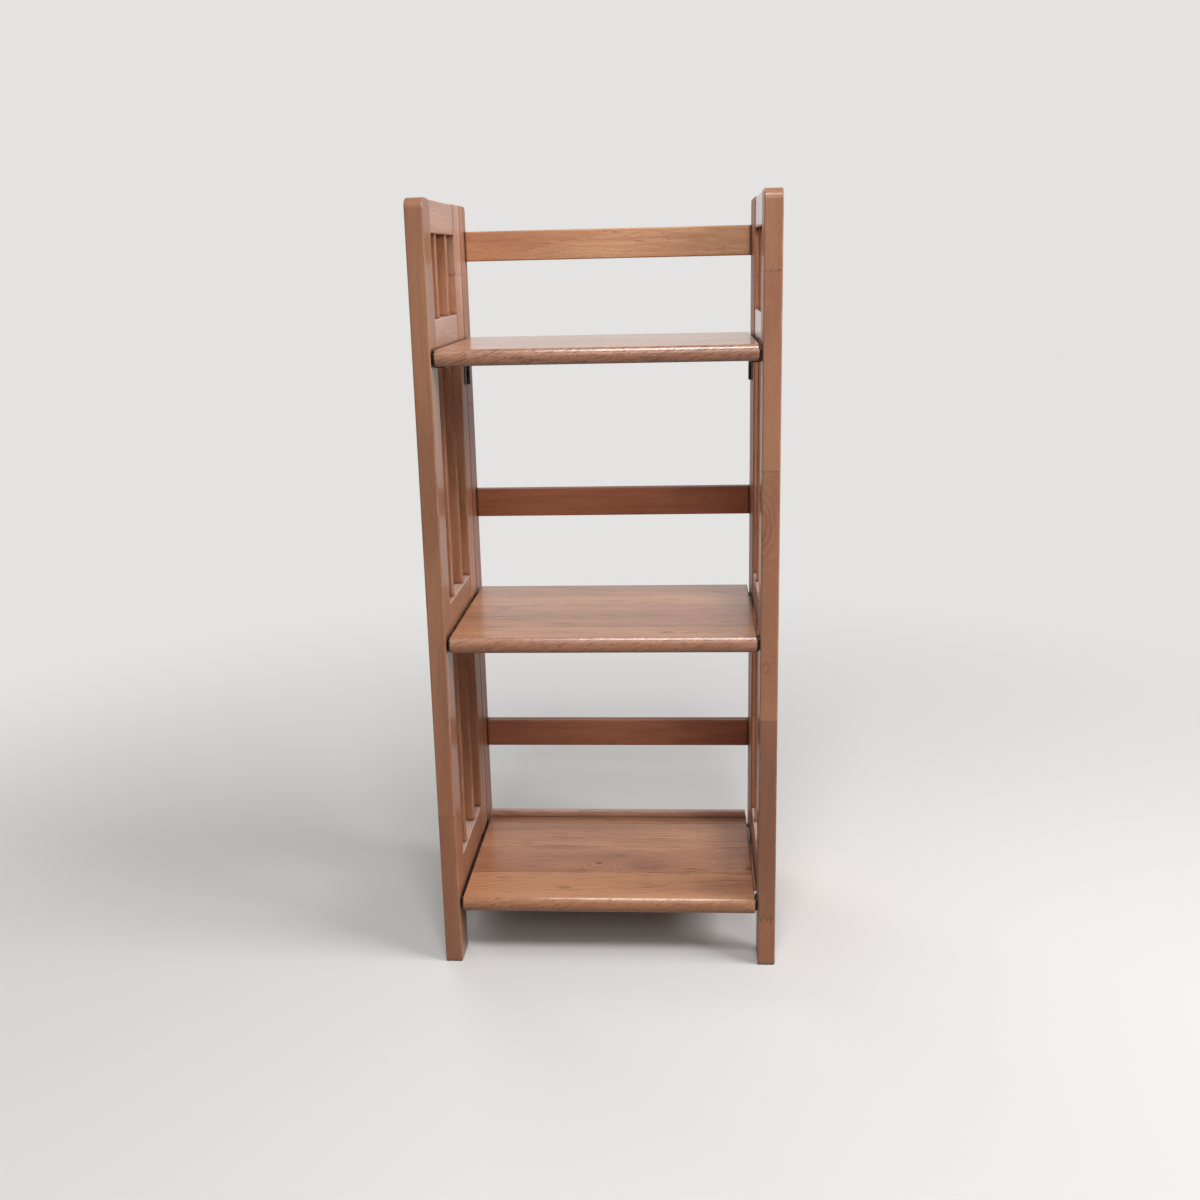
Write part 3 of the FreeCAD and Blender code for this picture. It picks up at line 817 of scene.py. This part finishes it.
def dress_all():
    """Finishes every piece of the object."""
    bronze = dark_metal()
    plated = steel("plated_steel_finish", steel_light, steel_dull)
    oiled = steel("oiled_steel_finish", steel_oiled, bronze_brown)
    for part in frame["record"]["subparts"]:
        node_name = part["node"]
        if part["material_slot"] == "dark_metal":
            dress(node_name, bronze)
        elif node_name.endswith("_pivot_pins"):
            dress(node_name, oiled)
        elif part["material_slot"] == "bright_steel":
            dress(node_name, plated)
        else:
            dress(node_name, wood(node_name))


def seen_or_mirrored(graph):
    """One for rays from the camera and for reflections, nought for the light that falls on the object."""
    rays = graph.put("ShaderNodeLightPath")
    seen = graph.math("MAXIMUM", rays.outputs["Is Camera Ray"], rays.outputs["Is Glossy Ray"])
    return graph.math("MAXIMUM", seen, rays.outputs["Is Transmission Ray"])


def grey(level):
    """A neutral colour of that brightness."""
    return (level, level, level, 1.0)


def make_world():
    """A pale backdrop to the eye and a soft even light on the object."""
    world = bpy.data.worlds.new("studio")
    bpy.context.scene.world = world
    world.use_nodes = True
    world.node_tree.nodes.clear()
    graph = Graph(world.node_tree)
    background = graph.put("ShaderNodeBackground")
    shown = graph.mix(seen_or_mirrored(graph), grey(ambient_level), backdrop_colour)
    graph.feed(background.inputs["Color"], shown)
    output = graph.put("ShaderNodeOutputWorld")
    world.node_tree.links.new(background.outputs[0], output.inputs["Surface"])


def make_floor():
    """A pale floor that takes the shadow, runs out into the backdrop and throws little light back up."""
    material, graph = new_material("studio_floor")
    seen = seen_or_mirrored(graph)
    distance = graph.vector("LENGTH", graph.object_place())
    near = graph.put("ShaderNodeBsdfDiffuse")
    graph.feed(near.inputs["Color"], graph.mix(seen, floor_bounce, floor_colour))
    far = graph.put("ShaderNodeEmission")
    graph.feed(far.inputs["Color"], graph.mix(seen, grey(ambient_level * floor_bounce[0]), backdrop_colour))
    blend = graph.put("ShaderNodeMixShader")
    graph.feed(blend.inputs[0], graph.ramp(distance, floor_fade_start, floor_fade_end))
    graph.feed(blend.inputs[1], near.outputs[0])
    graph.feed(blend.inputs[2], far.outputs[0])
    output = graph.put("ShaderNodeOutputMaterial")
    graph.feed(output.inputs["Surface"], blend.outputs[0])
    bpy.ops.mesh.primitive_circle_add(vertices=floor_corners, radius=floor_radius, fill_type="NGON")
    floor = bpy.context.object
    floor.name = "studio_floor"
    floor.data.materials.append(material)


def make_lamps():
    """Rectangular studio lamps that point at the object."""
    for name, (place, width, height, watts) in LAMPS.items():
        data = bpy.data.lights.new(name, "AREA")
        data.shape = "RECTANGLE"
        data.size = width
        data.size_y = height
        data.energy = watts
        lamp = bpy.data.objects.new(name, data)
        lamp.location = place
        lamp.rotation_mode = "QUATERNION"
        lamp.rotation_quaternion = (Vector(lamp_aim) - Vector(place)).to_track_quat("-Z", "Y")
        bpy.context.scene.collection.objects.link(lamp)


def make_camera():
    """The camera at the solved place, with the picture's full width across the sensor."""
    forward = Vector((
        math.sin(camera_turn) * math.cos(camera_dip),
        math.cos(camera_turn) * math.cos(camera_dip),
        -math.sin(camera_dip),
    ))
    level_right = Vector((math.cos(camera_turn), -math.sin(camera_turn), 0.0))
    level_up = level_right.cross(forward)
    right = math.cos(camera_roll) * level_right + math.sin(camera_roll) * level_up
    up = math.cos(camera_roll) * level_up - math.sin(camera_roll) * level_right
    data = bpy.data.cameras.new("photo_camera")
    data.sensor_width = sensor_width
    data.lens = focal_pixels / picture_pixels * sensor_width
    camera = bpy.data.objects.new("photo_camera", data)
    turn = Matrix((right, up, -forward)).transposed().to_4x4()
    camera.matrix_world = Matrix.Translation(camera_place) @ turn
    bpy.context.scene.collection.objects.link(camera)
    bpy.context.scene.camera = camera


bpy.context.scene.view_settings.view_transform = "Standard"
make_world()
make_floor()
make_lamps()
make_camera()
dress_all()

bpy.context.view_layer.update()
